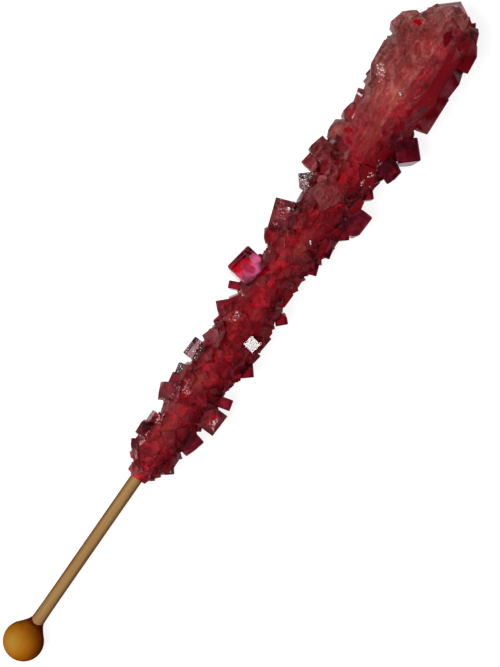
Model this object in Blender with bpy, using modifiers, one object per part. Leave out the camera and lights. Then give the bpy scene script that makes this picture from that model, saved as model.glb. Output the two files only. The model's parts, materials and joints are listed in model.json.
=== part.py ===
"""Rock candy stick: sugar crystals grown on a wooden dowel with a varnished ball grip.

Every piece is first laid out along a straight axis: x runs from the centre of the ball to the tip of
the candy, y is sideways and z is up. The whole is then tipped so that the ball and the crystals under
the thick end rest on z = 0, and moved so that its footprint is centred on the origin.
"""

import math
import random

import bmesh
import bpy
from mathutils import Matrix, Vector

MM = 0.001

# Overall sizes, in millimetres along the axis from the centre of the ball.
BALL_RADIUS = 4.65
BALL_SEGMENTS = 28
BALL_STEPS = 12
NECK_RADIUS = 1.6
NECK_END = 6.7
NECK_BEND = (4.85, 1.72)
NECK_JOIN = math.radians(45.0)
NECK_STEPS = 5
DOWEL_RADIUS = 1.4
DOWEL_END = 160.0
DOWEL_CHAMFER = 0.25
DOWEL_SEGMENTS = 24
BORE_START = 36.0
BORE_SEGMENTS = 16
GAP = 0.3
BALL_FLAT = 0.05
TIP_UP_DEG = 1.45

# Outline of the solid mass under the crystals: distance along, half width to +y and to -y.
OUTLINE = (
    (44.2, 2.3, 2.1),
    (46.5, 3.0, 2.7),
    (50.0, 5.4, 4.0),
    (54.0, 5.8, 4.5),
    (60.5, 4.5, 5.1),
    (66.0, 6.0, 5.7),
    (72.0, 5.5, 5.3),
    (82.0, 5.6, 5.7),
    (94.0, 5.7, 4.9),
    (101.0, 5.7, 4.7),
    (107.0, 6.4, 5.6),
    (116.0, 6.1, 6.5),
    (124.0, 7.6, 6.2),
    (134.0, 8.5, 6.9),
    (143.0, 8.4, 6.6),
    (149.0, 9.7, 8.2),
    (156.0, 9.8, 7.6),
    (162.0, 10.6, 7.8),
    (165.0, 9.2, 8.1),
    (167.0, 6.8, 7.6),
    (169.4, 6.0, 5.4),
    (171.2, 4.4, 3.6),
    (173.0, 2.0, -0.6),
)
CORE_RINGS = 32
CORE_SIDES = 13
CORE_UNEVENNESS = 0.06
RING_SHIFT = 0.5
UPPER_FULLNESS = 0.98
LOWER_FULLNESS = 0.93

# Small crystals that cover the mass.
FILL_COUNT = 165
FILL_START = 2.0
FILL_STOP = 1.5
FILL_LENGTH = (0.42, 0.72)
FILL_SHOWS = (0.5, 1.5)
FILL_TILT = 28.0
FLANK_SHARE = 0.6
THICK_END = 143.0
THICK_END_SHARE = 0.4
GOLDEN_TURN = math.radians(137.508)

# Habit of every crystal: how far its block leans, how far in its cut corners are.
SHEAR = 0.22
CORNER_LEFT = (0.70, 0.84)
FEW_CUTS = 2
SOME_CUTS = 3
MANY_CUTS = 5
ROLL = 10.0
SEED = 5

# Crystals on the two flanks: along, outermost y, up, length, width, depth, turn about z and
# tilt about x in degrees.
FLANK_CRYSTALS = (
    (50.1, -6.1, 0.5, 2.6, 2.6, 2.8, 38, 10),
    (57.2, -7.4, 0.0, 4.2, 3.6, 4.6, -14, 5),
    (64.6, -8.5, 0.5, 5.6, 5.3, 5.4, -2, 6),
    (69.1, -8.2, -0.6, 2.6, 3.6, 3.4, 14, 0),
    (77.9, -8.3, 0.4, 3.2, 3.2, 3.6, 40, -8),
    (81.3, -6.9, 0.0, 3.2, 2.8, 3.2, -8, 0),
    (91.9, -7.8, 0.0, 2.9, 2.9, 3.2, 45, 0),
    (105.4, -6.9, 0.2, 4.0, 3.0, 4.0, 20, 0),
    (110.9, -7.2, 0.0, 5.0, 3.4, 4.4, 4, 8),
    (118.0, -9.7, 0.2, 6.0, 5.2, 6.4, -3, 4),
    (125.5, -7.6, 0.0, 2.4, 2.6, 3.0, 42, 0),
    (133.0, -9.3, 2.0, 4.6, 4.8, 6.2, -20, 20),
    (138.7, -11.2, 1.6, 5.6, 5.6, 6.4, 42, 10),
    (50.9, 6.4, 0.4, 2.8, 2.8, 3.2, 32, 0),
    (54.3, 6.6, 0.2, 3.8, 3.0, 3.8, 4, 0),
    (57.6, 6.0, 0.0, 2.0, 2.2, 2.6, 40, 0),
    (64.6, 8.1, 0.6, 4.0, 3.8, 4.4, 30, 12),
    (69.8, 7.3, 0.4, 3.0, 2.8, 3.2, 12, 0),
    (75.2, 7.8, 0.8, 4.6, 3.4, 4.2, -2, -6),
    (80.6, 6.1, 0.2, 2.4, 2.4, 2.8, 35, 0),
    (87.1, 8.4, -0.4, 3.9, 3.9, 4.4, 44, 0),
    (91.5, 8.1, -0.5, 1.8, 2.4, 2.6, 28, 0),
    (97.1, 10.6, 1.0, 6.2, 5.4, 5.8, -9, 10),
    (106.0, 8.7, 0.2, 3.6, 3.2, 4.0, 38, 0),
    (111.6, 10.5, 0.4, 6.8, 4.6, 5.4, 20, 8),
    (120.4, 9.4, 0.2, 3.6, 3.6, 4.4, 40, 0),
    (124.2, 10.4, 0.4, 2.9, 3.6, 4.6, -8, 6),
    (127.7, 10.7, 0.2, 4.4, 4.4, 5.6, -14, 0),
    (133.4, 9.6, 0.6, 5.0, 3.6, 5.4, 8, 0),
    (138.4, 9.2, 0.2, 4.4, 3.4, 5.0, -6, 0),
    (142.6, 9.4, 0.0, 3.4, 3.2, 4.4, 16, 0),
)

# Large grown-together crystals of the thick end, laid out the same way.
THICK_END_CRYSTALS = (
    (148.3, -9.1, -1.0, 7.4, 6.0, 7.6, 2, 12),
    (156.2, -8.2, 0.8, 8.4, 7.0, 9.0, -4, 18),
    (163.6, -8.9, 0.2, 6.6, 6.6, 8.4, 6, 8),
    (150.6, 10.7, 1.2, 7.8, 6.4, 8.8, 4, -18),
    (160.9, 11.8, 1.0, 7.4, 7.8, 9.2, -14, -12),
    (166.6, 7.2, 0.8, 4.8, 6.0, 6.2, -24, -8),
    (167.0, -7.0, 0.4, 4.2, 6.0, 6.6, 24, 10),
)

# Crystals that face up and catch the light: along, out to +y, topmost z, then as above.
UPPER_CRYSTALS = (
    (84.2, -3.4, 7.0, 3.0, 3.0, 3.2, 8, 26),
    (87.2, 2.6, 6.7, 3.6, 3.4, 3.4, -14, -22),
    (112.5, 1.0, 7.4, 5.0, 4.4, 4.0, 30, -6),
    (126.0, 1.5, 8.4, 8.6, 6.4, 5.0, -24, -8),
    (134.0, -2.4, 8.3, 4.4, 4.4, 4.4, 6, 12),
    (155.0, 0.5, 10.0, 9.4, 7.0, 6.0, 35, -5),
    (163.5, 2.0, 10.0, 8.0, 8.0, 6.0, 10, 6),
    (168.6, 0.8, 6.4, 5.4, 5.8, 6.0, 30, 4),
)

# Crystals under the thick end that carry the candy: along, out to +y, lowest z, then as above.
RESTING_CRYSTALS = (
    (150.5, 4.4, -8.7, 7.4, 6.4, 6.6, 8, 10),
    (151.5, -3.9, -8.7, 7.4, 6.0, 6.6, -6, -8),
    (162.5, 1.0, -9.1, 7.4, 7.6, 6.2, 12, 0),
)


def material(name, rgb, roughness, transmission=0.0, coat=0.0):
    made = bpy.data.materials.new(name)
    made.use_nodes = True
    made.diffuse_color = (*rgb, 1.0)
    shader = made.node_tree.nodes["Principled BSDF"]
    shader.inputs["Base Color"].default_value = (*rgb, 1.0)
    shader.inputs["Roughness"].default_value = roughness
    shader.inputs["Metallic"].default_value = 0.0
    shader.inputs["Transmission Weight"].default_value = transmission
    shader.inputs["Coat Weight"].default_value = coat
    return made


def sugar_material():
    return material("red_sugar", (0.24, 0.018, 0.028), 0.22, transmission=0.25)


def dowel_material():
    return material("bare_birch", (0.42, 0.25, 0.10), 0.6)


def ball_material():
    return material("varnished_birch", (0.38, 0.19, 0.025), 0.22, coat=0.5)


def cutter_material():
    return material("cutter", (0.5, 0.5, 0.5), 0.5)


def collection(name, parent):
    made = bpy.data.collections.new(name)
    parent.children.link(made)
    return made


def add_object(name, bm, mat, home, smooth=False):
    bmesh.ops.recalc_face_normals(bm, faces=bm.faces)
    for face in bm.faces:
        face.smooth = smooth
    mesh = bpy.data.meshes.new(name)
    bm.to_mesh(mesh)
    bm.free()
    mesh.materials.append(mat)
    made = bpy.data.objects.new(name, mesh)
    home.objects.link(made)
    return made


def laid_down():
    """Takes the straight layout to the resting attitude, ball on the ground, in metres."""
    lift = Matrix.Translation((0.0, 0.0, BALL_RADIUS - BALL_FLAT))
    tip = Matrix.Rotation(-math.radians(TIP_UP_DEG), 4, "Y")
    return Matrix.Scale(MM, 4) @ lift @ tip


def blend(a, b, share):
    """Smooth step from a to b."""
    eased = share * share * (3.0 - 2.0 * share)
    return a + (b - a) * eased


def half_widths(along):
    """Half widths of the mass to +y and -y at a distance along the axis."""
    for left, right in zip(OUTLINE, OUTLINE[1:]):
        if along <= right[0]:
            share = max(0.0, (along - left[0]) / (right[0] - left[0]))
            return blend(left[1], right[1], share), blend(left[2], right[2], share)
    return OUTLINE[-1][1], OUTLINE[-1][2]


def surface_point(along, angle):
    """Point on the mass at an angle from +y toward +z."""
    plus, minus = half_widths(along)
    side = plus if math.cos(angle) > 0.0 else minus
    fullness = UPPER_FULLNESS if math.sin(angle) > 0.0 else LOWER_FULLNESS
    height = 0.5 * (plus + minus) * fullness
    return Vector((along, side * math.cos(angle), height * math.sin(angle)))


def core_mesh(rng):
    """The grown-together mass: a sphere drawn out to the outline and made uneven."""
    bm = bmesh.new()
    bmesh.ops.create_uvsphere(bm, u_segments=CORE_SIDES, v_segments=CORE_RINGS, radius=1.0)
    start = OUTLINE[0][0]
    end = OUTLINE[-1][0]
    for vert in bm.verts:
        ring = math.acos(max(-1.0, min(1.0, vert.co.z))) / math.pi
        along = start + (end - start) * ring
        plus, minus = half_widths(along)
        if math.hypot(vert.co.x, vert.co.y) < 1e-4:
            vert.co = (along, 0.5 * (plus - minus), 0.0)
            continue
        point = surface_point(along, math.atan2(vert.co.y, vert.co.x))
        swell = 1.0 + rng.uniform(-CORE_UNEVENNESS, CORE_UNEVENNESS)
        vert.co = (point.x + rng.uniform(-RING_SHIFT, RING_SHIFT), point.y * swell, point.z * swell)
    return bm


def chamfer(bm, direction, distance):
    """Cuts a convex body by a plane and closes it."""
    everything = bm.verts[:] + bm.edges[:] + bm.faces[:]
    bmesh.ops.bisect_plane(bm, geom=everything, plane_co=direction * distance,
                           plane_no=direction, clear_outer=True)
    rim = [edge for edge in bm.edges if edge.is_boundary]
    if rim:
        bmesh.ops.holes_fill(bm, edges=rim, sides=0)


def add_crystal(target, rng, spin, size, corner_cuts, point, outward):
    """One sheared block with corners cut off, turned, its outermost corner level with the point."""
    bm = bmesh.new()
    bmesh.ops.create_cube(bm, size=1.0)
    shear = Matrix.Identity(4)
    shear[0][2] = SHEAR
    scale = Matrix.Diagonal((*size, 1.0))
    bm.transform(scale @ shear)
    corners = [(sx, sy, sz) for sx in (-1, 1) for sy in (-1, 1) for sz in (-1, 1)]
    rng.shuffle(corners)
    for sign in corners[:corner_cuts]:
        corner = Vector([0.5 * s * length for s, length in zip(sign, size)])
        lean = Vector([s * rng.uniform(0.25, 1.0) / length for s, length in zip(sign, size)])
        lean.normalize()
        chamfer(bm, lean, lean.dot(corner) * rng.uniform(*CORNER_LEFT))
    bm.transform(spin)
    reach = max(vert.co.dot(outward) for vert in bm.verts)
    bm.transform(Matrix.Translation(point - outward * reach))
    shape = bpy.data.meshes.new("crystal")
    bm.to_mesh(shape)
    bm.free()
    target.from_mesh(shape)
    bpy.data.meshes.remove(shape)


def spun(turn, tilt, roll):
    return (Matrix.Rotation(math.radians(turn), 4, "Z")
            @ Matrix.Rotation(math.radians(tilt), 4, "X")
            @ Matrix.Rotation(math.radians(roll), 4, "Y"))


def listed_crystals(target, rng, rows, side, corner_cuts):
    """Crystals from a table; side tells which coordinate the outermost corner is given for."""
    for along, out, up, length, width, depth, turn, tilt in rows:
        sideways = Vector((0.0, math.copysign(1.0, out), 0.0))
        upright = Vector((0.0, 0.0, math.copysign(1.0, up)))
        outward = sideways if side == "flank" else upright
        spin = spun(turn, tilt, rng.uniform(-ROLL, ROLL))
        add_crystal(target, rng, spin, (length, width, depth), corner_cuts,
                    Vector((along, out, up)), outward)


def fill_crystals(target, rng):
    """A spiral of smaller crystals, each sunk into the mass with a corner or edge showing."""
    start = OUTLINE[0][0] + FILL_START
    run = OUTLINE[-1][0] - FILL_STOP - start
    for index in range(FILL_COUNT):
        along = start + run * (index + rng.uniform(0.2, 0.8)) / FILL_COUNT
        angle = index * GOLDEN_TURN + rng.uniform(-0.2, 0.2)
        plus, minus = half_widths(along)
        length = rng.uniform(*FILL_LENGTH) * 0.5 * (plus + minus) + 1.0
        size = (length, length * rng.uniform(0.7, 0.95), length * rng.uniform(0.75, 1.0))
        point = surface_point(along, angle)
        outward = Vector((0.0, point.y, point.z)).normalized()
        shows = rng.uniform(*FILL_SHOWS)
        if abs(math.cos(angle)) > 0.75:
            shows *= FLANK_SHARE
        if along > THICK_END:
            shows *= THICK_END_SHARE
        facing = math.degrees(math.atan2(-outward.y, outward.z))
        spin = spun(rng.uniform(-60.0, 60.0), facing + rng.uniform(-FILL_TILT, FILL_TILT),
                    rng.uniform(-FILL_TILT, FILL_TILT))
        add_crystal(target, rng, spin, size, FEW_CUTS, point + outward * shows, outward)


def crystals_mesh(rng):
    bm = bmesh.new()
    listed_crystals(bm, rng, FLANK_CRYSTALS, "flank", SOME_CUTS)
    listed_crystals(bm, rng, THICK_END_CRYSTALS, "flank", MANY_CUTS)
    listed_crystals(bm, rng, UPPER_CRYSTALS, "upright", SOME_CUTS)
    listed_crystals(bm, rng, RESTING_CRYSTALS, "upright", SOME_CUTS)
    fill_crystals(bm, rng)
    return bm


def lathe(name, profile, mat, home, steps):
    """A body of revolution about x: the profile is (along, radius) pairs."""
    bm = bmesh.new()
    points = [bm.verts.new((radius, 0.0, along)) for along, radius in profile]
    for first, second in zip(points, points[1:]):
        bm.edges.new((first, second))
    mesh = bpy.data.meshes.new(name)
    bm.to_mesh(mesh)
    bm.free()
    mesh.materials.append(mat)
    made = bpy.data.objects.new(name, mesh)
    home.objects.link(made)
    turned = made.modifiers.new("turned", "SCREW")
    turned.axis = "Z"
    turned.angle = 2.0 * math.pi
    turned.steps = steps
    turned.render_steps = steps
    turned.use_merge_vertices = True
    turned.merge_threshold = 1e-6
    turned.use_smooth_shade = True
    turned.use_normal_calculate = True
    along_x = Matrix.Rotation(0.5 * math.pi, 4, "Y")
    made.matrix_world = laid_down() @ along_x
    return made


def ball_profile():
    """Ball with a short varnish fillet where the dowel comes out, from the neck round to the back."""
    profile = [(NECK_END, 0.0), (NECK_END, NECK_RADIUS)]
    foot = Vector((math.cos(NECK_JOIN), math.sin(NECK_JOIN))) * BALL_RADIUS
    end = Vector((NECK_END, NECK_RADIUS))
    bend = Vector(NECK_BEND)
    for step in range(1, NECK_STEPS):
        share = step / NECK_STEPS
        point = end.lerp(bend, share).lerp(bend.lerp(foot, share), share)
        profile.append((point.x, point.y))
    for step in range(BALL_STEPS):
        angle = NECK_JOIN + (math.pi - NECK_JOIN) * step / BALL_STEPS
        profile.append((BALL_RADIUS * math.cos(angle), BALL_RADIUS * math.sin(angle)))
    profile.append((-BALL_RADIUS, 0.0))
    return profile


def cut(target, cutter, operation="DIFFERENCE"):
    mod = target.modifiers.new(cutter.name, "BOOLEAN")
    mod.operation = operation
    mod.solver = "EXACT"
    mod.object = cutter
    return mod


def make_ball(home, ground):
    ball = lathe("ball", ball_profile(), ball_material(), home, BALL_SEGMENTS)
    cut(ball, ground)
    return ball


def make_stick(home):
    bm = bmesh.new()
    start = NECK_END + GAP
    length = DOWEL_END - start
    middle = Matrix.Translation((start + 0.5 * length, 0.0, 0.0))
    along_x = Matrix.Rotation(0.5 * math.pi, 4, "Y")
    bmesh.ops.create_cone(bm, cap_ends=True, segments=DOWEL_SEGMENTS, radius1=DOWEL_RADIUS,
                          radius2=DOWEL_RADIUS, depth=length, matrix=middle @ along_x)
    rims = [edge for edge in bm.edges if abs(edge.verts[0].co.x - edge.verts[1].co.x) < 1e-6]
    bmesh.ops.bevel(bm, geom=rims, offset=DOWEL_CHAMFER, segments=1, affect="EDGES",
                    profile=0.5, material=-1)
    bm.transform(laid_down())
    return add_object("stick", bm, dowel_material(), home, smooth=True)


def make_candy(home, cutters, ground):
    rng = random.Random(SEED)
    core = core_mesh(rng)
    core.transform(laid_down())
    candy = add_object("rock_candy", core, sugar_material(), home)
    grown = crystals_mesh(rng)
    grown.transform(laid_down())
    crystals = add_object("crystals", grown, cutter_material(), cutters)
    joined = cut(candy, crystals, "UNION")
    joined.use_self = True
    cut(candy, bore_cutter(cutters))
    cut(candy, ground)
    return candy


def bore_cutter(cutters):
    """Blind hole for the dowel, a gap wider than it all round and at its end."""
    bm = bmesh.new()
    length = DOWEL_END + GAP - BORE_START
    middle = Matrix.Translation((BORE_START + 0.5 * length, 0.0, 0.0))
    along_x = Matrix.Rotation(0.5 * math.pi, 4, "Y")
    radius = DOWEL_RADIUS + GAP
    bmesh.ops.create_cone(bm, cap_ends=True, segments=BORE_SEGMENTS, radius1=radius,
                          radius2=radius, depth=length, matrix=middle @ along_x)
    bm.transform(laid_down())
    return add_object("bore", bm, cutter_material(), cutters)


def ground_cutter(cutters):
    """Everything below z = 0."""
    bm = bmesh.new()
    bmesh.ops.create_cube(bm, size=0.5, matrix=Matrix.Translation((0.0, 0.0, -0.25)))
    return add_object("ground", bm, cutter_material(), cutters)


def centre_footprint(parts, everything):
    """Moves all objects so that the middle of the footprint is at the origin."""
    depsgraph = bpy.context.evaluated_depsgraph_get()
    corners = []
    for part in parts:
        shape = part.evaluated_get(depsgraph)
        corners.extend(shape.matrix_world @ vert.co for vert in shape.data.vertices)
    middle_x = 0.5 * (min(c.x for c in corners) + max(c.x for c in corners))
    middle_y = 0.5 * (min(c.y for c in corners) + max(c.y for c in corners))
    for made in everything:
        made.matrix_world = Matrix.Translation((-middle_x, -middle_y, 0.0)) @ made.matrix_world


def main():
    for old in list(bpy.data.objects):
        bpy.data.objects.remove(old, do_unlink=True)
    home = collection("rock_candy_stick", bpy.context.scene.collection)
    cutters = collection("cutters", bpy.context.scene.collection)
    ground = ground_cutter(cutters)
    parts = [make_ball(home, ground), make_stick(home), make_candy(home, cutters, ground)]
    for tool in cutters.objects:
        tool.hide_render = True
        tool.display_type = "WIRE"
    centre_footprint(parts, parts + list(cutters.objects))


main()
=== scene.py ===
"""Rock candy stick: dyed sugar crystals on a birch dowel with a varnished ball grip.

Run as a script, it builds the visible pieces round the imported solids, and a studio to show them in.
They are laid out in millimetres along a straight axis: x runs from the centre of the ball to the
tip of the candy, y is sideways, z is up out of the shown side. One matrix then lays them down.
"""

import functools
import json
import math
import random

import bmesh
import bpy
from mathutils import Matrix, Vector

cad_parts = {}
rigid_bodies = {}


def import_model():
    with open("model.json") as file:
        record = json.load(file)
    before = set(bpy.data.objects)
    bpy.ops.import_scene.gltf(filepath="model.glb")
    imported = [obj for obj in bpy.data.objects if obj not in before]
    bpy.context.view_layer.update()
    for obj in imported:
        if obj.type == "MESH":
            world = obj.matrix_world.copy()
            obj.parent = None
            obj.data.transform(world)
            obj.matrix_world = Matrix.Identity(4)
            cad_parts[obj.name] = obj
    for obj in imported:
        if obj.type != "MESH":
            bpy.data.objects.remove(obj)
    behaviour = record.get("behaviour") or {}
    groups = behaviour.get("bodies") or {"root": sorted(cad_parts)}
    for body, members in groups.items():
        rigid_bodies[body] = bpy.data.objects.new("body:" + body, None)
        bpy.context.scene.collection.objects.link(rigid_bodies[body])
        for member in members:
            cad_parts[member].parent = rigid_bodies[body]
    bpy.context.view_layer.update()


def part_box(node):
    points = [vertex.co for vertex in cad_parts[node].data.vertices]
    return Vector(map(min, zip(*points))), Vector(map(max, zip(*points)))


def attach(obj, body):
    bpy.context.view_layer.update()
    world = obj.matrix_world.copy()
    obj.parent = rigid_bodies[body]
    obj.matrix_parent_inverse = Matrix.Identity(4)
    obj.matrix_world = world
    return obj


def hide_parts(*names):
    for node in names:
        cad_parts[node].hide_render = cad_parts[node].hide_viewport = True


bl_info = {
    "name": "Rock Candy Stick",
    "version": (1, 0, 0),
    "blender": (4, 5, 0),
    "location": "3D View > Sidebar > Rock Candy",
    "description": "Sugar crystals on a wooden dowel with a varnished ball",
    "category": "Add Mesh",
}

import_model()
BODY = "root"

MM = 0.001
PACKED_BALL_RADIUS = 4.65
TIP_UP = math.radians(1.45)
SIDE_STEP = -0.3
FLOOR_GAP = 0.01 * MM

# Sucrose crystals lean, have corners cut off, and on the flanks they narrow downwards.
SHEAR = 0.14
UNDERCUT = 0.72
CUT_LEAN = (0.25, 1.0)
CUT_REACH = (0.70, 0.84)
WORN_EDGE = 0.05
LISTED_ROLL = 8.0

# Edges flatter than this are worn smooth, and on the thick end and high up steeper ones too.
SOFT_EDGE = math.radians(26.0)
SOFT_EDGE_THICK_END = math.radians(42.0)
HIGH_UP = (0.4, 0.8)

# How full the inner and outer growth are as a share of the outline, thin end first, how much deeper
# the inner crystals lie, and the size of the hearts in the listed ones.
CORE_SWELL = (0.79, 0.85)
SHELL_SWELL = (0.91, 0.96)
SWELL_RUN = (134.0, 150.0)
CORE_SUNK = 1.8
HEART = 0.6

# Faces that look this way mirror the main light straight up. Most crystals are turned until no
# large face does, and what still does is frosted.
GLINT = Vector((-0.147, 0.104, 0.984))
GLINT_CONE = math.radians(11.0)
GLINT_AREA = 0.15
GLINTS_KEPT = 0.03
DULL_CONE = math.radians(24.0)
GLINT_FROST = 2.0

# Faces on the side away from the light are painted dark as painted shade: those that face away and
# the steep ones.
FACES_AWAY = -0.6
FACES_LIGHT = 0.3
STEEP = 0.5
SHADED_SIDE = -1.5
SHADED_FROST = 1.6

# Outline of the grown-together mass: distance along, half width to +y and to -y.
OUTLINE = (
    (44.4, 2.2, 2.1), (46.5, 3.0, 3.0), (50.0, 5.4, 4.5), (54.0, 5.8, 5.0), (60.5, 4.5, 5.1),
    (66.0, 6.0, 5.7), (72.0, 5.5, 5.3), (79.0, 5.6, 5.9), (85.0, 5.8, 6.2), (94.0, 5.7, 4.9),
    (99.0, 5.7, 5.1), (102.0, 5.8, 4.7), (107.0, 6.4, 6.0), (116.0, 6.1, 6.5), (119.0, 6.2, 6.8),
    (124.0, 7.6, 6.2), (134.0, 8.5, 6.9), (143.0, 8.4, 6.6), (149.0, 10.0, 8.2), (156.0, 10.9, 7.9),
    (162.0, 10.6, 7.8), (165.0, 9.2, 8.1), (167.0, 6.8, 7.6), (169.4, 6.0, 4.9), (171.2, 4.4, 2.6),
    (173.0, 2.0, -1.2),
)
UPPER_FULLNESS = 0.98
LOWER_FULLNESS = 0.93
THICK_END = 143.0
SMOOTH_TOP = 130.0
BLUNT_END = 162.0

# Where the growth turns rosy along the candy, where round it the side toward the light is painted
# paler and rosier as painted light, and how rosy the outer growth gets.
ROSY_RUN = (132.0, 146.0)
LIT_SIDE = (-0.5, 0.3)
SHELL_ROSY = 0.85

# Small crystals: a golden turn spreads them round the mass. Their length is a share of its half
# width and a bit more, and their width and depth are shares of their length.
GOLDEN_TURN = math.radians(137.508)
FIRST_CRYSTAL = OUTLINE[0][0] + 1.7
LAST_CRYSTAL = OUTLINE[-1][0] - 4.0
SMALL_LENGTH = (0.26, 0.66)
LEAST_LENGTH = 0.6
SMALL_WIDTH = (0.6, 0.95)
SMALL_DEPTH = (0.75, 1.0)
SHOWS = (-0.2, 0.9)
SMALL_TURN = (-60.0, 60.0)
SMALL_LEAN = (-30.0, 30.0)
FROSTED_SHARE = 0.25

# How each kind of crystal looks: the piece it belongs to, then how pale and how frosted its faces
# are, each as a range.
KINDS = {
    "dyed": ("dyed", (0.0, 0.22), (0.1, 0.6)),
    "frosted": ("dyed", (0.35, 0.6), (0.6, 0.9)),
    "rose": ("dyed", (0.8, 1.0), (0.7, 1.0)),
    "deep": ("deep", (0.0, 0.3), (0.0, 0.4)),
    "clear": ("clear", (0.0, 1.0), (0.0, 0.6)),
    "mirror": ("clear", (0.0, 0.0), (0.0, 0.0)),
    "soft_mirror": ("clear", (0.0, 0.0), (1.0, 1.0)),
    "pink": ("pink", (0.1, 0.4), (0.2, 0.6)),
    "ruby": ("ruby", (0.0, 0.2), (0.0, 0.2)),
}
WORN_KINDS = {"deep", "clear", "ruby"}
CLOUDY_KINDS = {"dyed", "frosted", "rose", "pink"}

# Crystals on the flanks: kind, along, outermost y, up, length, width, depth, turn about z and tilt
# about x in degrees.
FLANK_CRYSTALS = (
    ("clear", 50.1, -6.1, 0.5, 2.6, 2.6, 2.8, 38, 10),
    ("deep", 57.4, -7.5, 0.0, 5.2, 3.8, 4.6, -14, 6),
    ("dyed", 64.6, -8.5, 0.5, 5.6, 5.3, 5.4, -2, 6),
    ("deep", 69.1, -8.2, -0.6, 2.6, 3.6, 3.4, 14, 6),
    ("deep", 77.9, -8.3, 0.4, 3.2, 3.2, 3.6, 40, 8),
    ("deep", 81.3, -6.9, 0.0, 3.2, 2.8, 3.2, -8, 6),
    ("deep", 91.9, -7.8, 0.0, 2.9, 2.9, 3.2, 45, 6),
    ("deep", 105.4, -6.9, 0.2, 4.0, 3.0, 4.0, 20, 6),
    ("deep", 110.9, -7.2, 0.0, 5.0, 3.4, 4.4, 4, 8),
    ("deep", 118.6, -9.8, 0.2, 6.4, 5.4, 6.4, -3, 6),
    ("deep", 115.2, -8.3, 0.4, 3.4, 3.4, 4.0, 40, 6),
    ("deep", 125.5, -7.6, 0.0, 2.4, 2.6, 3.0, 42, 6),
    ("deep", 133.0, -9.3, 2.0, 4.6, 4.8, 4.2, -20, 12),
    ("deep", 138.0, -11.2, 1.6, 5.4, 5.4, 6.4, 42, 10),
    ("pink", 50.9, 6.4, 0.4, 2.8, 2.8, 3.2, 32, -6),
    ("pink", 54.3, 6.6, 0.2, 3.8, 3.0, 3.8, 4, -6),
    ("dyed", 57.6, 6.0, 0.0, 2.0, 2.2, 2.6, 40, -6),
    ("pink", 64.6, 8.1, 0.6, 4.2, 4.6, 4.4, 30, -12),
    ("dyed", 67.2, 7.2, 0.2, 3.0, 3.0, 3.6, 10, -8),
    ("clear", 69.8, 7.3, 0.4, 3.0, 2.8, 3.2, 12, -6),
    ("clear", 75.2, 7.8, 0.8, 4.6, 3.4, 4.2, -2, -6),
    ("dyed", 80.6, 6.1, 0.2, 2.4, 2.4, 2.8, 35, -6),
    ("dyed", 87.1, 8.4, -0.4, 3.9, 3.9, 4.4, 44, -6),
    ("clear", 86.4, 6.7, 0.6, 1.8, 1.6, 2.0, 20, -6),
    ("deep", 92.2, 8.5, -0.5, 1.8, 3.2, 2.6, 24, -6),
    ("ruby", 96.8, 10.6, 1.2, 6.8, 6.6, 6.0, -9, -6),
    ("dyed", 106.0, 8.7, 0.2, 3.6, 3.2, 4.0, 38, -6),
    ("pink", 110.7, 10.5, 0.4, 6.8, 4.6, 5.4, 20, -8),
    ("clear", 120.4, 9.4, 0.2, 3.6, 3.6, 4.4, 40, -6),
    ("frosted", 124.2, 10.4, 0.4, 2.9, 3.6, 4.6, -8, -6),
    ("frosted", 127.7, 10.7, 0.2, 4.4, 4.4, 5.6, -14, -6),
    ("rose", 133.4, 9.6, 0.6, 5.0, 3.6, 5.4, 8, -6),
    ("frosted", 138.4, 9.2, 0.2, 4.4, 3.4, 5.0, -6, -6),
    ("frosted", 142.6, 9.4, 0.0, 3.4, 3.2, 4.4, 16, -6),
)

# Large grown-together crystals of the thick end, laid out the same way.
THICK_END_CRYSTALS = (
    ("dyed", 147.9, -9.2, -0.4, 9.2, 6.4, 7.6, 2, 12),
    ("dyed", 156.2, -8.7, 0.8, 9.8, 7.0, 9.0, -2, 18),
    ("dyed", 163.2, -8.9, 0.2, 7.6, 6.6, 8.4, 6, 8),
    ("rose", 151.7, 10.7, 1.2, 9.0, 6.6, 8.8, 4, -18),
    ("rose", 160.9, 11.8, 1.0, 7.4, 7.8, 9.2, -14, -12),
    ("rose", 166.6, 7.2, 0.8, 4.8, 6.0, 6.2, -24, -8),
    ("dyed", 167.0, -7.0, 0.4, 4.2, 6.0, 6.6, 24, 10),
)

# Crystals that face up: kind, along, out to +y, topmost z, then as above.
UPPER_CRYSTALS = (
    ("frosted", 121.0, 1.2, 7.3, 7.6, 6.0, 5.0, -24, -8),
    ("rose", 167.9, 2.0, 6.6, 6.4, 5.6, 6.0, -50, 4),
    ("rose", 168.4, -0.2, 6.0, 4.6, 5.0, 5.6, -16, 4),
)

# Crystals underneath that the candy rests on: kind, along, out to +y, lowest z, then as above.
RESTING_CRYSTALS = (
    ("rose", 150.5, 4.4, -8.7, 7.4, 6.4, 6.6, 8, 10),
    ("rose", 151.5, -3.9, -8.7, 7.4, 6.0, 6.6, -6, -8),
    ("rose", 162.5, 1.0, -9.1, 7.4, 7.6, 6.2, 12, 0),
)

# Crystals whose top face mirrors the main light: kind, along, y, topmost z, length, width, depth
# and turn.
MIRROR_CRYSTALS = (
    ("mirror", 84.1, -3.8, 6.2, 2.8, 2.7, 2.8, 25),
    ("soft_mirror", 113.4, 6.6, 4.6, 0.7, 0.6, 2.2, 20),
    ("soft_mirror", 143.2, 8.3, 3.0, 1.4, 0.5, 1.8, 40),
    ("soft_mirror", 148.2, 0.9, 8.7, 0.9, 0.3, 1.4, 10),
    ("soft_mirror", 110.0, -1.6, 6.2, 0.9, 0.25, 1.8, -10),
)

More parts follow.
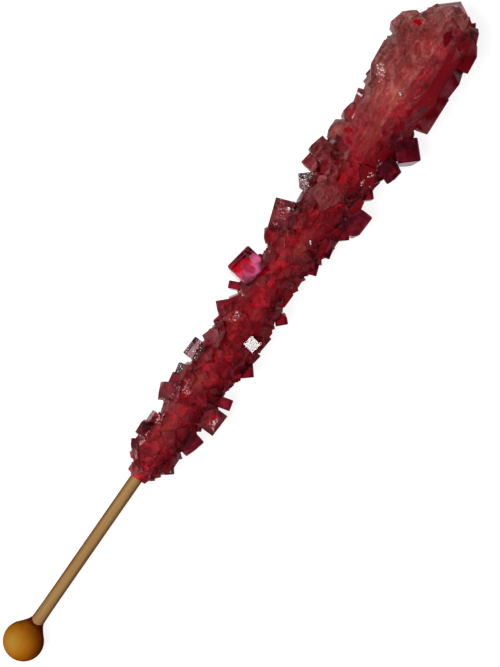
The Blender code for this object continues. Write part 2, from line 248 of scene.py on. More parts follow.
# Soft patches of colour under the surface: along, y, half length, half width and turn.
AMBER_PATCHES = (
    (57.5, 0.8, 5.6, 2.4, 0), (70.0, 1.4, 3.6, 2.2, -10), (106.0, -1.2, 7.0, 1.8, 8),
    (136.0, 0.8, 5.0, 1.8, 0), (147.0, 1.6, 3.0, 2.4, 30), (170.4, -2.6, 2.4, 1.4, 0),
)
# Most crimson patches are a band of painted shade down the side away from the light; a few are dark
# spots.
CRIMSON_AND_SHADE_PATCHES = (
    (150.0, -7.6, 8.0, 3.6, 0), (161.0, -7.4, 8.0, 3.8, 0), (170.4, 4.4, 1.6, 1.0, -40),
    (164.2, -0.6, 2.4, 1.6, 20), (84.5, -4.6, 3.6, 2.6, 0), (76.0, -5.8, 6.0, 1.8, 0),
    (91.0, -5.4, 6.0, 1.8, 0), (101.0, -5.2, 7.0, 1.8, 0), (111.0, -6.0, 6.0, 1.8, 0),
    (123.0, -6.6, 6.0, 2.0, 0), (131.0, -7.4, 5.0, 2.2, 0), (142.0, -7.0, 5.0, 2.6, 0),
)
SCARLET_PATCHES = (
    (133.4, 4.4, 0.9, 2.4, -32), (135.4, 5.6, 0.9, 2.0, -28), (163.4, 6.6, 1.3, 1.1, 0),
    (80.0, 4.6, 2.4, 1.0, 0), (98.5, 3.2, 2.4, 1.0, 0),
)
HAZE_PATCHES = (
    (150.6, 6.8, 3.0, 2.2, 25), (132.4, 7.4, 3.2, 1.6, 0), (169.4, 3.6, 1.6, 1.8, 20),
)
# On the large ruby crystal: hot pink is a painted glow at its foot, pale pink a painted highlight,
# and
# garnet a painted shade along its outer edge and ends.
HOT_PINK_GLOW_PATCHES = (
    (94.4, 6.6, 1.3, 1.6, 20), (97.0, 5.4, 3.4, 1.5, -9), (99.9, 6.0, 1.2, 1.6, -20),
)
PALE_PINK_HIGHLIGHT_PATCHES = ((97.2, 6.4, 1.1, 1.9, -6),)
GARNET_SHADE_PATCHES = (
    (97.0, 10.4, 4.0, 1.1, -9), (94.0, 9.0, 0.8, 2.0, 0), (100.2, 8.4, 0.7, 2.0, 0),
)
STREAKS = (
    (157.2, 4.2, 5.0, 0.7, 42), (155.0, 6.0, 2.6, 0.6, 36), (159.6, 3.0, 2.6, 0.5, 48),
    (149.2, 3.6, 3.0, 0.6, 36), (165.6, 2.6, 2.6, 0.6, 20),
)
# Patches of loose white grains, partly real specks and partly painted glints in place of small
# highlights.
SPECKLED_AND_GLINT_PATCHES = (
    (120.4, -7.0, 1.6, 1.6, 0), (127.0, -3.4, 2.0, 1.0, 20), (53.0, 4.4, 3.2, 1.4, -6),
    (58.4, 4.0, 3.2, 1.2, 10), (65.0, 5.0, 3.6, 2.6, 20), (68.0, 2.4, 3.2, 1.6, 30),
    (73.0, 5.6, 2.4, 1.2, 0), (87.2, 2.8, 1.8, 1.5, 10), (91.6, 5.2, 1.8, 1.4, 0),
    (113.4, 6.6, 1.6, 0.9, 0), (119.6, 7.4, 2.4, 1.6, 30), (129.6, -4.2, 1.6, 1.4, 0),
    (133.0, -4.2, 1.6, 1.4, 8), (139.4, -6.0, 2.2, 1.5, 30), (150.4, 7.6, 2.2, 1.6, 30),
    (64.4, -7.0, 2.4, 1.5, 0),
)
PATCH_DEPTH = 11.0
PATCH_WANDER = Vector((3.2, 3.2, 0.0)) * MM


def details(*millimetres):
    """Scale of a pattern whose details have this size, or these along x, y and z."""
    scales = [1.0 / (size * MM) for size in millimetres]
    return scales if len(scales) > 1 else scales[0]


# What shows in the sugar: folds that crack, slanting growth lines, cloudy drifts, tones and flaws
# of the cloudy mass, ripples of a face, and loose grains, about 0.3 mm and drawn coarser to show.
FOLDS = details(2.381)
LINES = details(3.846, 0.9091, 1.25)
LINE_TURN = (0.0, 0.3, math.radians(-35.0))
DRIFTS = details(7.692)
TONES = details(6.667)
FLAWS = details(1.111)
RIPPLES = details(0.6667)
RIPPLE_HEIGHT = 0.2 * MM
GRAINS = details(0.5)

# Birch grain. Its vessels are about 0.1 mm wide and are drawn coarser to show, and under varnish
# only broad streaks do.
BARE_GRAIN = details(11.11, 0.3846, 0.3846)
VARNISHED_GRAIN = details(5.0, 1.667, 1.667)
GRAIN_HEIGHT = 0.1 * MM

# Varnish: its lip on the dowel, the fillet's bend and where that joins the ball, where the painted
# highlight sits and how it turns to painted shade round from there, the painted shade in the neck
# crease, and its edge's drop on the top.
VARNISH_LIP = 0.2
VARNISH_TUCK = 0.5
VARNISH_BEND = (4.9, 1.75)
VARNISH_JOIN = math.radians(50.0)
BALL_HIGHLIGHT_DIRECTION = Vector((-0.2855, 0.4105, 0.866))
BALL_SHADE_RUN = (math.radians(8.0), math.radians(111.0))
CREASE_SHADE_RUN = (3.6, 4.9)
CREASE_SHADE_SHARE = 0.12
COLLAR_RUN = (4.2, 5.4)
COLLAR_DROP = 0.8
FILLET_STEPS = 16
BALL_STEPS = 36
BALL_SIDES = 64

# Dowel: how deep it sits in the ball, how much thicker it is there, and how painted shade darkens it
# down the sides and below.
DOWEL_SEAT = 0.6
DOWEL_FLARE = 0.26
FLARE_RUN = 2.2
DOWEL_SHADE_RUN = (0.04, 0.75)
DOWEL_STEPS = 60
DOWEL_SIDES = 48

# Studio: where the camera aims from the ball's centre, how it is turned, and what it takes in.
AIM = (85.4, -2.37)
AIM_HEIGHT = 6.8
VIEW_TURN = math.radians(55.2)
VIEW_HEIGHT = 148.9 * MM
CAMERA_DISTANCE = 1.0
FLOOR_SIZE = 1.5
LIGHT_DISTANCE = 1.8
# Lights: name, shares of the distance over, to the right and up, and diameter in metres.
LIGHTS = (
    ("key", 0.94, -0.33, -0.12, 1.0),
    ("left", 0.62, -0.75, -0.2, 2.4),
    ("right", 0.62, 0.75, 0.2, 2.4),
)
WHITE = (1.0, 1.0, 1.0)


def linear(hex_colour):
    """An sRGB hex colour as linear red, green and blue."""
    values = [int(hex_colour[i:i + 2], 16) / 255.0 for i in (1, 3, 5)]
    return tuple(v / 12.92 if v <= 0.04045 else ((v + 0.055) / 1.055) ** 2.4 for v in values)


def swatch(name, description, hex_colour):
    return bpy.props.FloatVectorProperty(name=name, description=description, subtype="COLOR",
                                         size=3, min=0.0, max=1.0, default=linear(hex_colour))


def measure(name, description, millimetres):
    return bpy.props.FloatProperty(name=name, description=description, subtype="DISTANCE",
                                   unit="LENGTH", min=0.0, default=millimetres * MM)


def count(name, description, default):
    return bpy.props.IntProperty(name=name, description=description, default=default, min=1)


def strength(name, description, default, unit="NONE"):
    return bpy.props.FloatProperty(name=name, description=description, default=default, min=0.0,
                                   unit=unit)


class RockCandySizes(bpy.types.PropertyGroup):
    ball_radius: measure("Ball radius", "Radius of the turned ball", 4.62)
    varnish_end: measure("Varnish end", "Where the varnish stops along the dowel", 5.6)
    dowel_radius: measure("Dowel radius", "Radius of the dowel", 1.44)
    dowel_end: measure("Dowel end", "Where the dowel ends inside the candy", 60.0)
    fill_count: count("Small crystals", "How many small crystals cover the mass", 680)
    core_count: count("Inner crystals", "How many cloudy crystals lie under them", 480)
    seed: count("Seed", "Which crystal growth is made", 5)


class RockCandyColours(bpy.types.PropertyGroup):
    rose: swatch("Rose", "Cloudy sugar with little dye", "#e0889a")
    crimson: swatch("Crimson", "Cloudy sugar with full dye", "#96162e")
    core: swatch("Core", "Dark gaps between the cloudy crystals", "#5c0a1c")
    amber: swatch("Amber", "Wood showing through the sugar", "#a84c18")
    dyed: swatch("Dyed crystals", "Face of a clear dyed crystal", "#ec5e78")
    pale: swatch("Pale crystals", "Face of a crystal with little dye", "#d07c76")
    sheen: swatch("Sheen", "Tint of the sheen on dyed crystals", "#803c44")
    dye: swatch("Dye", "What the dyed sugar lets through", "#cc1a44")
    deep_dye: swatch("Deep dye", "What the deeply dyed sugar lets through", "#cc1a58")
    deep_face: swatch("Deep crystals", "Face of a deeply dyed crystal", "#d03058")
    clear_dye: swatch("Trace of dye", "What the nearly clear sugar lets through", "#a84858")
    ruby_dye: swatch("Ruby dye", "What the clearest red crystals let through", "#ee0890")
    # Flecks also draw the painted glints of the speckled patches.
    fleck: swatch("Flecks", "Specks of white sugar in the clear", "#dcc8c4")
    scarlet: swatch("Scarlet", "Spots where the dye is brightest", "#a80012")
    haze: swatch("Haze", "Cloudy patches under the surface", "#d08480")
    # Maroon is the painted shade on the side away from the light, and of the crimson band there.
    maroon: swatch("Maroon", "Growth with the most dye", "#700a14")
    # Garnet and hot pink are the painted shade and painted glow of the ruby crystal.
    garnet_shade: swatch("Garnet", "Darkest edge of the clearest red crystals", "#4c0016")
    hot_pink_glow: swatch("Hot pink", "Brightest pale crystals", "#f070a8")
    clear: swatch("Clear crystals", "Nearly undyed crystals", "#d0b4b8")
    pink: swatch("Pink crystals", "Cloudy pale crystals", "#a02c48")
    wood: swatch("Wood", "Bare birch", "#917247")
    # Wood grain colours both the darker grain and the dowel's painted shade.
    wood_grain_and_shade: swatch("Wood grain", "Darker grain of the birch", "#562a00")
    # Varnish, thin is the ball's painted highlight colour and Varnish, thick its painted shade
    # colour.
    varnish: swatch("Varnish", "Amber varnished birch", "#8a500a")
    varnish_highlight: swatch("Varnish, thin", "Varnish where it ran off", "#8c6a28")
    varnish_shade: swatch("Varnish, thick", "Varnish where it has pooled", "#460a04")
    floor: swatch("Floor", "Studio floor", "#7c7b7a")


class StudioSettings(bpy.types.PropertyGroup):
    key_power: strength("Key light", "Power of the main soft light", 38.5, "POWER")
    left_power: strength("Left panel", "Power of the large left panel", 20.0, "POWER")
    right_power: strength("Right panel", "Power of the right panel", 5.0, "POWER")
    table_glow: strength("Table glow", "Light of the table itself", 0.88)
    surround: strength("Surround", "Brightness of the room", 0.06)


def ball_centre():
    """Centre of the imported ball, from its round end and top."""
    low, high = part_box("ball")
    radius = PACKED_BALL_RADIUS * MM
    return Vector((low.x + radius, 0.5 * (low.y + high.y), high.z - radius))


def laid_down(sideways=0.0):
    """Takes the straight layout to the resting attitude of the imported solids, in metres."""
    return (Matrix.Translation(ball_centre()) @ Matrix.Rotation(-TIP_UP, 4, "Y")
            @ Matrix.Scale(MM, 4) @ Matrix.Translation((0.0, sideways, 0.0)))


def blend(a, b, share):
    eased = share * share * (3.0 - 2.0 * share)
    return a + (b - a) * eased


def share_between(value, low, high):
    return min(1.0, max(0.0, (value - low) / (high - low)))


def half_widths(along):
    """Half widths of the mass to +y and -y at a distance along the axis."""
    for left, right in zip(OUTLINE, OUTLINE[1:]):
        if along <= right[0]:
            share = max(0.0, (along - left[0]) / (right[0] - left[0]))
            return blend(left[1], right[1], share), blend(left[2], right[2], share)
    return OUTLINE[-1][1], OUTLINE[-1][2]


def surface_point(along, angle):
    """Point on the mass at an angle from +y toward +z."""
    plus, minus = half_widths(along)
    side = plus if math.cos(angle) > 0.0 else minus
    fullness = UPPER_FULLNESS if math.sin(angle) > 0.0 else LOWER_FULLNESS
    height = 0.5 * (plus + minus) * fullness
    return Vector((along, side * math.cos(angle), height * math.sin(angle)))


def in_order(bm):
    """The faces by their corners, so that random draws fall on the same ones in every run."""
    bm.verts.index_update()
    return sorted(bm.faces, key=lambda face: sorted(vert.index for vert in face.verts))


def soften(bm, above):
    """Shades low edges as worn ones, most of all on the thick end and, if asked, above."""
    bm.normal_update()
    for face in bm.faces:
        face.smooth = True
    for edge in bm.edges:
        along = 0.5 * (edge.verts[0].co.x + edge.verts[1].co.x)
        up = min(face.normal.z for face in edge.link_faces)
        share = share_between(along, *SWELL_RUN)
        if above:
            share = max(share, share_between(up, *HIGH_UP))
        limit = blend(SOFT_EDGE, SOFT_EDGE_THICK_END, share)
        edge.smooth = edge.calc_face_angle(math.pi) < limit


def placed(name, bm, collection):
    """An object at the origin with the shape of a bmesh."""
    mesh = bpy.data.meshes.new(name)
    bm.to_mesh(mesh)
    bm.free()
    thing = bpy.data.objects.new(name, mesh)
    collection.objects.link(thing)
    return thing


def finished(name, bm, material, smooth=True, sideways=0.0):
    """Turns a bmesh laid out in millimetres into a piece of the object, in the frame."""
    bm.transform(laid_down(sideways))
    for vert in bm.verts:
        vert.co.z = max(vert.co.z, FLOOR_GAP)
    for face in bm.faces:
        face.smooth = smooth
    piece = placed(name, bm, bpy.context.scene.collection)
    piece.data.materials.append(material)
    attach(piece, BODY)
    return piece


def add_node(tree, kind, inputs, output=0, **settings):
    """Adds a node with its settings and links, and gives one of its outputs."""
    node = tree.nodes.new("ShaderNode" + kind)
    for key, value in settings.items():
        setattr(node, key, value)
    for key, value in inputs.items():
        socket = node.inputs[key]
        if isinstance(value, bpy.types.NodeSocket):
            tree.links.new(value, socket)
        else:
            socket.default_value = (*value, 1.0) if socket.type == "RGBA" else value
    return node.outputs[output] if node.outputs else node


def new_material(name):
    """An empty material and the function that adds nodes to it."""
    material = bpy.data.materials.new(name)
    material.use_nodes = True
    material.node_tree.nodes.clear()
    return material, functools.partial(add_node, material.node_tree)


def finish_material(add, inputs, volume=None):
    ends = {"Surface": add("BsdfPrincipled", inputs)}
    if volume:
        ends["Volume"] = volume
    add("OutputMaterial", ends)


def layered(add, colour, layers):
    """A colour with others laid over it, each where its own pattern is 1."""
    for share, laid in layers:
        # Where a Mix node mixes colours they are its inputs 6 and 7, and the result is output 2.
        colour = add("Mix", {0: share, 6: colour, 7: laid}, 2, data_type="RGBA")
    return colour


def veins(add, place):
    """Thin healed cracks: 1 along them and 0 between."""
    folds = add("TexNoise", {"Vector": place, "Scale": FOLDS, "Detail": 5.0, "Roughness": 0.6,
                             "Distortion": 1.2})
    off = add("Math", {0: folds, 1: 0.5}, operation="SUBTRACT")
    gap = add("Math", {0: off}, operation="ABSOLUTE")
    return add("MapRange", {"Value": gap, "From Max": 0.035, "To Min": 1.0, "To Max": 0.0})


def growth_lines(add, place):
    """Fine slanting lines left by the growth: 1 along them and 0 between."""
    slanting = add("Mapping", {"Vector": place, "Rotation": LINE_TURN, "Scale": LINES})
    lines = add("TexNoise", {"Vector": slanting, "Scale": 1.0, "Detail": 5.0, "Roughness": 0.65,
                             "Distortion": 0.6})
    return add("MapRange", {"Value": lines, "From Min": 0.42, "From Max": 0.68})


def patches(add, place, rows):
    """Soft spots under the surface: 1 in their middles and 0 outside."""
    wander = add("TexNoise", {"Vector": place, "Scale": FOLDS, "Detail": 3.0}, "Color")
    shift = add("VectorMath", {0: wander, 1: PATCH_WANDER, 2: -0.5 * PATCH_WANDER},
                operation="MULTIPLY_ADD")
    place = add("VectorMath", {0: place, 1: shift}, operation="ADD")
    whole = None
    for along, y, length, width, turn in rows:
        top = surface_point(along, 0.5 * math.pi).z
        middle = laid_down(SIDE_STEP) @ Vector((along, y, top))
        moved = add("VectorMath", {0: place, 1: middle}, operation="SUBTRACT")
        turned = add("Mapping", {"Vector": moved, "Rotation": (0.0, 0.0, -math.radians(turn))})
        sized = add("VectorMath", {0: turned, 1: (length * MM, width * MM, PATCH_DEPTH * MM)},
                    operation="DIVIDE")
        far = add("VectorMath", {0: sized}, "Value", operation="LENGTH")
        spot = add("MapRange", {"Value": far, "From Min": 0.3, "From Max": 1.2, "To Min": 1.0,
                                "To Max": 0.0})
        whole = add("Math", {0: whole, 1: spot}, operation="MAXIMUM") if whole else spot
    return whole


def specks(add, place, spread, speckled_and_glints):
    """Grains of loose white sugar in patches, some of them painted glints: 1 on them and 0 between.
    """
    grains = add("TexVoronoi", {"Vector": place, "Scale": GRAINS})
    grains = add("MapRange", {"Value": grains, "From Min": 0.2, "From Max": 0.5, "To Min": 1.0,
                              "To Max": 0.0})
    here = add("TexNoise", {"Vector": place, "Scale": FOLDS, "Detail": 4.0, "Roughness": 0.7})
    if speckled_and_glints:
        here = add("Math", {0: patches(add, place, speckled_and_glints), 1: 0.31, 2: here},
                   operation="MULTIPLY_ADD")
    here = add("MapRange", {"Value": here, "From Min": spread[0], "From Max": spread[1]})
    return add("Math", {0: grains, 1: here}, operation="MULTIPLY")


def clear_sugar(name, colours, faces, rough, dye, density, milk, spread, sheen=WHITE, stains_and_painted_light=(),
                speckled_and_glints=(), lined=0.0, ripple=0.25, shade_painted=False):
    """Sucrose crystal grown from syrup: clear, with flat faces that are glossy or a little frosted.

    Loose white grains, healed cracks and cloudy drifts make it milky here and there; patches of
    stain, of painted shade and of painted light have a colour of their own, and faces on the shaded
    side are painted nearly opaque in painted shade."""
    material, add = new_material(name)
    place = add("TexCoord", {}, "Object")
    tint = add("Attribute", {}, "Fac", attribute_name="tint")
    frost = add("Attribute", {}, "Fac", attribute_name="frost")
    frosting = add("MapRange", {"Value": frost, "From Max": GLINT_FROST, "To Min": rough[0],
                                "To Max": rough[0] + GLINT_FROST * (rough[1] - rough[0])})
    ripples = add("TexNoise", {"Vector": place, "Scale": RIPPLES, "Detail": 2.0})
    bump = add("Bump", {"Strength": ripple, "Distance": RIPPLE_HEIGHT, "Height": ripples})
    grains = specks(add, place, spread, speckled_and_glints)
    drifts = add("TexNoise", {"Vector": place, "Scale": DRIFTS, "Detail": 5.0, "Roughness": 0.62})
    lines = growth_lines(add, place)

    drifted = add("MapRange", {"Value": drifts, "From Min": 0.35, "From Max": 0.65, "To Min": 0.25,
                               "To Max": 1.2})
    # The tint carries painted light too, so the side toward the light is drawn paler and milkier.
    drifted = add("Math", {0: tint, 1: drifted}, operation="MULTIPLY")
    ruled = add("Math", {0: lines, 1: 0.9, 2: 0.7}, operation="MULTIPLY_ADD")
    drifted = add("Math", {0: drifted, 1: ruled}, operation="MULTIPLY")
    cracks = add("Math", {0: drifted, 1: 0.16, 2: 0.06}, operation="MULTIPLY_ADD")
    cracks = add("Math", {0: veins(add, place), 1: cracks}, operation="MULTIPLY")
    cloud = add("Math", {0: drifted, 1: milk, 2: cracks}, operation="MULTIPLY_ADD")
    cloud = add("Math", {0: lines, 1: 0.05 * lined, 2: cloud}, operation="MULTIPLY_ADD")

    shade = add("Math", {0: lines, 1: 0.35, 2: tint}, operation="MULTIPLY_ADD", use_clamp=True)
    white = add("Math", {0: cracks, 1: 0.8}, operation="MULTIPLY")
    layers = [(shade, faces[1]), (white, colours.fleck)]
    patchy = add("MapRange", {"Value": drifts, "From Min": 0.35, "From Max": 0.6, "To Min": 0.4})
    clouds = []
    for rows, stain, strong, full in stains_and_painted_light:
        spots = add("Math", {0: patches(add, place, rows), 1: patchy}, operation="MULTIPLY")
        layers.append((add("MapRange", {"Value": spots, "From Max": full}), stain))
        clouds.append((spots, strong))
    # Painted shade: faces on the side away from the light are painted nearly opaque maroon.
    if shade_painted:
        soak = add("Attribute", {}, "Fac", attribute_name="soak")
        layers.append((soak, colours.maroon))
        clouds.append((soak, 0.8))
    layers.append((grains, colours.fleck))
    for here, strong in (*clouds, (grains, 0.85)):
        cloud = add("Math", {0: here, 1: strong, 2: cloud}, operation="MULTIPLY_ADD")
    through = add("Math", {0: 1.0, 1: cloud}, operation="SUBTRACT")
    finish_material(add, {"Base Color": layered(add, faces[0], layers), "Roughness": frosting,
                          "IOR": 1.54, "Transmission Weight": through, "Specular IOR Level": 0.1,
                          "Specular Tint": sheen, "Normal": bump},
                    add("VolumeAbsorption", {"Color": dye, "Density": density}))
    return material


def cloudy_sugar(colours):
    """Grown-together sugar full of tiny flaws: cloudy, between rose and crimson."""
    material, add = new_material("cloudy_sugar")
    place = add("TexCoord", {}, "Object")
    broad = add("TexNoise", {"Vector": place, "Scale": TONES, "Detail": 4.0, "Roughness": 0.65})
    cells = add("TexVoronoi", {"Vector": place, "Scale": FOLDS}, "Color")
    tone = add("SeparateColor", {0: cells})
    flaws = add("TexNoise", {"Vector": place, "Scale": FLAWS, "Detail": 5.0, "Roughness": 0.7,
                             "Distortion": 0.8})
    both = add("Math", {0: tone, 1: 0.28, 2: broad}, operation="MULTIPLY_ADD")
    off = add("Math", {0: flaws, 1: 0.5}, operation="SUBTRACT")
    both = add("Math", {0: off, 1: 0.9, 2: both}, operation="MULTIPLY_ADD")
    tone = add("MapRange", {"Value": both, "From Min": 0.48, "From Max": 0.80})
    # The tint carries painted light: the side toward the light is painted rosier.
    tint = add("Attribute", {}, "Fac", attribute_name="tint")
    gaps = add("MapRange", {"Value": flaws, "From Min": 0.54, "From Max": 0.68, "To Max": 0.7})
    colour = layered(add, colours.rose, ((tone, colours.crimson), (tint, colours.rose),
                                         (gaps, colours.core)))
    finish_material(add, {"Base Color": colour, "Roughness": 0.6, "Specular IOR Level": 0.2})
    return material


def block(size, cuts, rng, edge, foot):
    """One sucrose crystal: a leaning block with corners cut off and its edges slightly worn."""
    bm = bmesh.new()
    bmesh.ops.create_cube(bm, size=1.0)
    for vert in bm.verts:
        if vert.co.z < 0.0:
            vert.co.x *= foot
            vert.co.y *= foot
    shear = Matrix.Identity(4)
    shear[0][2] = SHEAR
    bm.transform(Matrix.Diagonal((*size, 1.0)) @ shear)
    corners = [(sx, sy, sz) for sx in (-1, 1) for sy in (-1, 1) for sz in (-1, 1)]
    rng.shuffle(corners)
    for sign in corners[:cuts]:
        corner = Vector([0.5 * s * length for s, length in zip(sign, size)])
        lean = Vector([s * rng.uniform(*CUT_LEAN) / length for s, length in zip(sign, size)])
        lean.normalize()
        reach = lean.dot(corner) * rng.uniform(*CUT_REACH)
        bmesh.ops.bisect_plane(bm, geom=bm.verts[:] + bm.edges[:] + bm.faces[:],
                               plane_co=lean * reach, plane_no=lean, clear_outer=True)
        rim = [e for e in bm.edges if e.is_boundary]
        if rim:
            bmesh.ops.holes_fill(bm, edges=rim, sides=0)
    if edge > 0.0:
        bmesh.ops.bevel(bm, geom=bm.edges[:], offset=edge * min(size), segments=1,
                        affect="EDGES", profile=0.5, material=-1)
    return bm


def spun(turn, tilt, roll):
    return (Matrix.Rotation(math.radians(turn), 4, "Z")
            @ Matrix.Rotation(math.radians(tilt), 4, "X")
            @ Matrix.Rotation(math.radians(roll), 4, "Y"))


def grow(rng, kind, spin, size, cuts, point, outward, foot=1.0, painted_light_paleness=1.0, share=1.0):
    """A crystal turned by spin, its outermost corner level with the point, or its heart."""
    bm = block(size, cuts, rng, WORN_EDGE if kind in WORN_KINDS else 0.0, foot)
    bm.transform(spin)
    reach = max(vert.co.dot(outward) for vert in bm.verts)
    bm.transform(Matrix.Translation(point - outward * reach) @ Matrix.Scale(share, 4))
    piece, paleness, frosting = KINDS[kind]
    tint_layer = bm.faces.layers.float.new("tint")
    frost_layer = bm.faces.layers.float.new("frost")
    # The side toward the light is painted paler as painted light.
    tint = rng.uniform(*paleness) * painted_light_paleness
    frost = rng.uniform(*frosting)
    for face in bm.faces:
        face[tint_layer] = tint
        face[frost_layer] = min(1.0, max(0.0, frost + rng.uniform(-0.1, 0.1)))
    bm.normal_update()
    return bm


def dull(bm):
    """Frosts the faces that would mirror the main light, and marks those away from it for painted
    shade.
    """
    frost_layer = bm.faces.layers.float["frost"]
    painted_shade_layer = bm.faces.layers.float.new("soak")
    for face in bm.faces:
        normal = face.normal
        if normal.angle(GLINT) < DULL_CONE:
            face[frost_layer] = GLINT_FROST
        steep = normal.y < FACES_LIGHT and abs(normal.z) < STEEP
        shaded = face.calc_center_median().y < SHADED_SIDE
        if shaded and (steep or normal.y < FACES_AWAY):
            face[painted_shade_layer] = 1.0
            face[frost_layer] = SHADED_FROST


def catches_light(bm):
    """Whether a face of some size mirrors the main light straight up."""
    return any(face.normal.angle(GLINT) < GLINT_CONE and face.calc_area() > GLINT_AREA
               for face in bm.faces)


def clear_of_light(make, attempts=16):
    """The first crystal from make that doesn't mirror the main light, or the last one tried."""
    for attempt in range(attempts):
        bm = make()
        if attempt == attempts - 1 or not catches_light(bm):
            return bm
        bm.free()


def listed(rng, rows, upright, cuts, foot=1.0, share=1.0):
    """Pairs of kind and crystal from a table, or their hearts."""
    for kind, along, out, up, length, width, depth, turn, tilt in rows:
        outward = Vector((0.0, math.copysign(1.0, out), 0.0))
        if upright:
            outward = Vector((0.0, 0.0, math.copysign(1.0, up)))
        yield kind, clear_of_light(lambda: grow(
            rng, kind, spun(turn, tilt, rng.uniform(-LISTED_ROLL, LISTED_ROLL)),
            (length, width, depth), cuts, Vector((along, out, up)), outward, foot, 1.0, share))


def mirrors(rng, rows):
    """Pairs of kind and crystal whose top face mirrors the main light."""
    facing = GLINT.to_track_quat("Z", "Y").to_matrix().to_4x4()
    for kind, along, out, up, length, width, depth, turn in rows:
        spin = facing @ Matrix.Rotation(math.radians(turn), 4, "Z")
        yield kind, grow(rng, kind, spin, (length, width, depth), 0, Vector((along, out, up)),
                         Vector((0.0, 0.0, 1.0)))


def filling(rng, number, sunk=0.0):
    """Small crystals all over the mass, sunk into it by some millimetres."""
    run = LAST_CRYSTAL - FIRST_CRYSTAL
    for index in range(number):
        along = FIRST_CRYSTAL + run * (index + rng.uniform(0.2, 0.8)) / number
        angle = index * GOLDEN_TURN + rng.uniform(-0.2, 0.2)
        width = sum(half_widths(along))
        length = rng.uniform(*SMALL_LENGTH) * 0.5 * width + LEAST_LENGTH
        size = (length, length * rng.uniform(*SMALL_WIDTH), length * rng.uniform(*SMALL_DEPTH))
        point = surface_point(along, angle)
        outward = Vector((0.0, point.y, point.z)).normalized()
        shows = rng.uniform(*SHOWS)
        # The thick end is smooth on top and at its tip.
        if along > THICK_END or (along > SMOOTH_TOP and outward.z > 0.4):
            shows = shows * 0.3 - (1.0 if outward.z > 0.4 or along > BLUNT_END else 0.4)
        elif outward.z > 0.6:
            shows -= 0.2
        shows -= sunk * min(1.0, 0.1 * width) ** 2
        facing = math.degrees(math.atan2(-outward.y, outward.z))
        kind = "frosted" if rng.random() < FROSTED_SHARE else "dyed"
        if rng.random() < share_between(along, *ROSY_RUN):
            kind = "rose"
        attempts = 1 if rng.random() < GLINTS_KEPT else 12
        # Crystals on the side toward the light are painted paler as painted light.
        painted_light_paleness = lit(outward)
        yield kind, clear_of_light(lambda: grow(
            rng, kind, spun(rng.uniform(*SMALL_TURN), facing + rng.uniform(*SMALL_LEAN),
                            rng.uniform(*SMALL_LEAN)),
            size, 2, point + outward * shows, outward, 1.0, painted_light_paleness), attempts)


def lit(centre):
    """Painted light round the axis: the side to +y, toward the light, is painted paler and rosier,
    full there and nothing toward -y.
    """
    return share_between(centre.y / math.hypot(centre.y, centre.z), *LIT_SIDE)


def mass(rng, swell, rings, sides, unevenness):
    """The grown-together growth, drawn from a ball out to a share of the outline."""
    bm = bmesh.new()
    bmesh.ops.create_uvsphere(bm, u_segments=sides, v_segments=rings, radius=1.0)
    start = OUTLINE[0][0]
    end = OUTLINE[-1][0]
    for vert in bm.verts:
        ring = math.acos(max(-1.0, min(1.0, vert.co.z))) / math.pi
        along = start + (end - start) * max(0.0, (rings * ring - 1.0) / (rings - 1.0))
        plus, minus = half_widths(along)
        if math.hypot(vert.co.x, vert.co.y) < 1e-4:
            vert.co = (along, 0.5 * (plus - minus), 0.0)
            continue
        point = surface_point(along, math.atan2(vert.co.y, vert.co.x))
        uneven = blend(*swell, share_between(along, *SWELL_RUN)) * (
            1.0 + rng.uniform(-unevenness, unevenness))
        vert.co = (point.x, point.y * uneven, point.z * uneven)
    if bm.calc_volume(signed=True) < 0.0:
        bmesh.ops.reverse_faces(bm, faces=bm.faces)
    tint_layer = bm.faces.layers.float.new("tint")
    frost_layer = bm.faces.layers.float.new("frost")
    for face in in_order(bm):
        centre = face.calc_center_median()
        # Rosy toward the thick end, with the side toward the light painted paler as painted light.
        face[tint_layer] = SHELL_ROSY * share_between(centre.x, *ROSY_RUN) * lit(centre)
        face[frost_layer] = rng.uniform(0.5, 1.0)
    return bm


def keep_largest_part(bm):
    """Takes out the small closed gaps left between crystals."""
    left = set(bm.verts)
    parts = []
    while left:
        part = set()
        waiting = [left.pop()]
        while waiting:
            vert = waiting.pop()
            part.add(vert)
            for edge in vert.link_edges:
                other = edge.other_vert(vert)
                if other in left:
                    left.remove(other)
                    waiting.append(other)
        parts.append(part)
    largest = max(parts, key=len)
    spare = [vert for part in parts if part is not largest for vert in part]
    bmesh.ops.delete(bm, geom=spare, context="VERTS")


def united(base, others):
    """One closed surface round a growth and its crystals."""
    if not others:
        return base
    gathered = bpy.data.collections.new("growing")
    bpy.context.scene.collection.children.link(gathered)
    for bm in others:
        placed("growing", bm, gathered)
    start = placed("growing", base, bpy.context.scene.collection)
    join = start.modifiers.new("join", "BOOLEAN")
    join.operation = "UNION"
    join.operand_type = "COLLECTION"
    join.collection = gathered
    join.solver = "MANIFOLD"
    shape = start.evaluated_get(bpy.context.evaluated_depsgraph_get())
    bm = bmesh.new()
    bm.from_mesh(shape.to_mesh())
    shape.to_mesh_clear()
    for piece in [start, *gathered.objects]:
        mesh = piece.data
        bpy.data.objects.remove(piece)
        bpy.data.meshes.remove(mesh)
    bpy.data.collections.remove(gathered)
    return bm


def colour_core(bm, rng):
    """Marks where the inner growth is rosy: toward the thick end, with the side toward the light
    painted rosier as painted light.
    """
    tint_layer = bm.faces.layers.float["tint"]
    for face in in_order(bm):
        centre = face.calc_center_median()
        face[tint_layer] = share_between(centre.x, *ROSY_RUN) * rng.uniform(0.5, 1.0) * lit(centre)


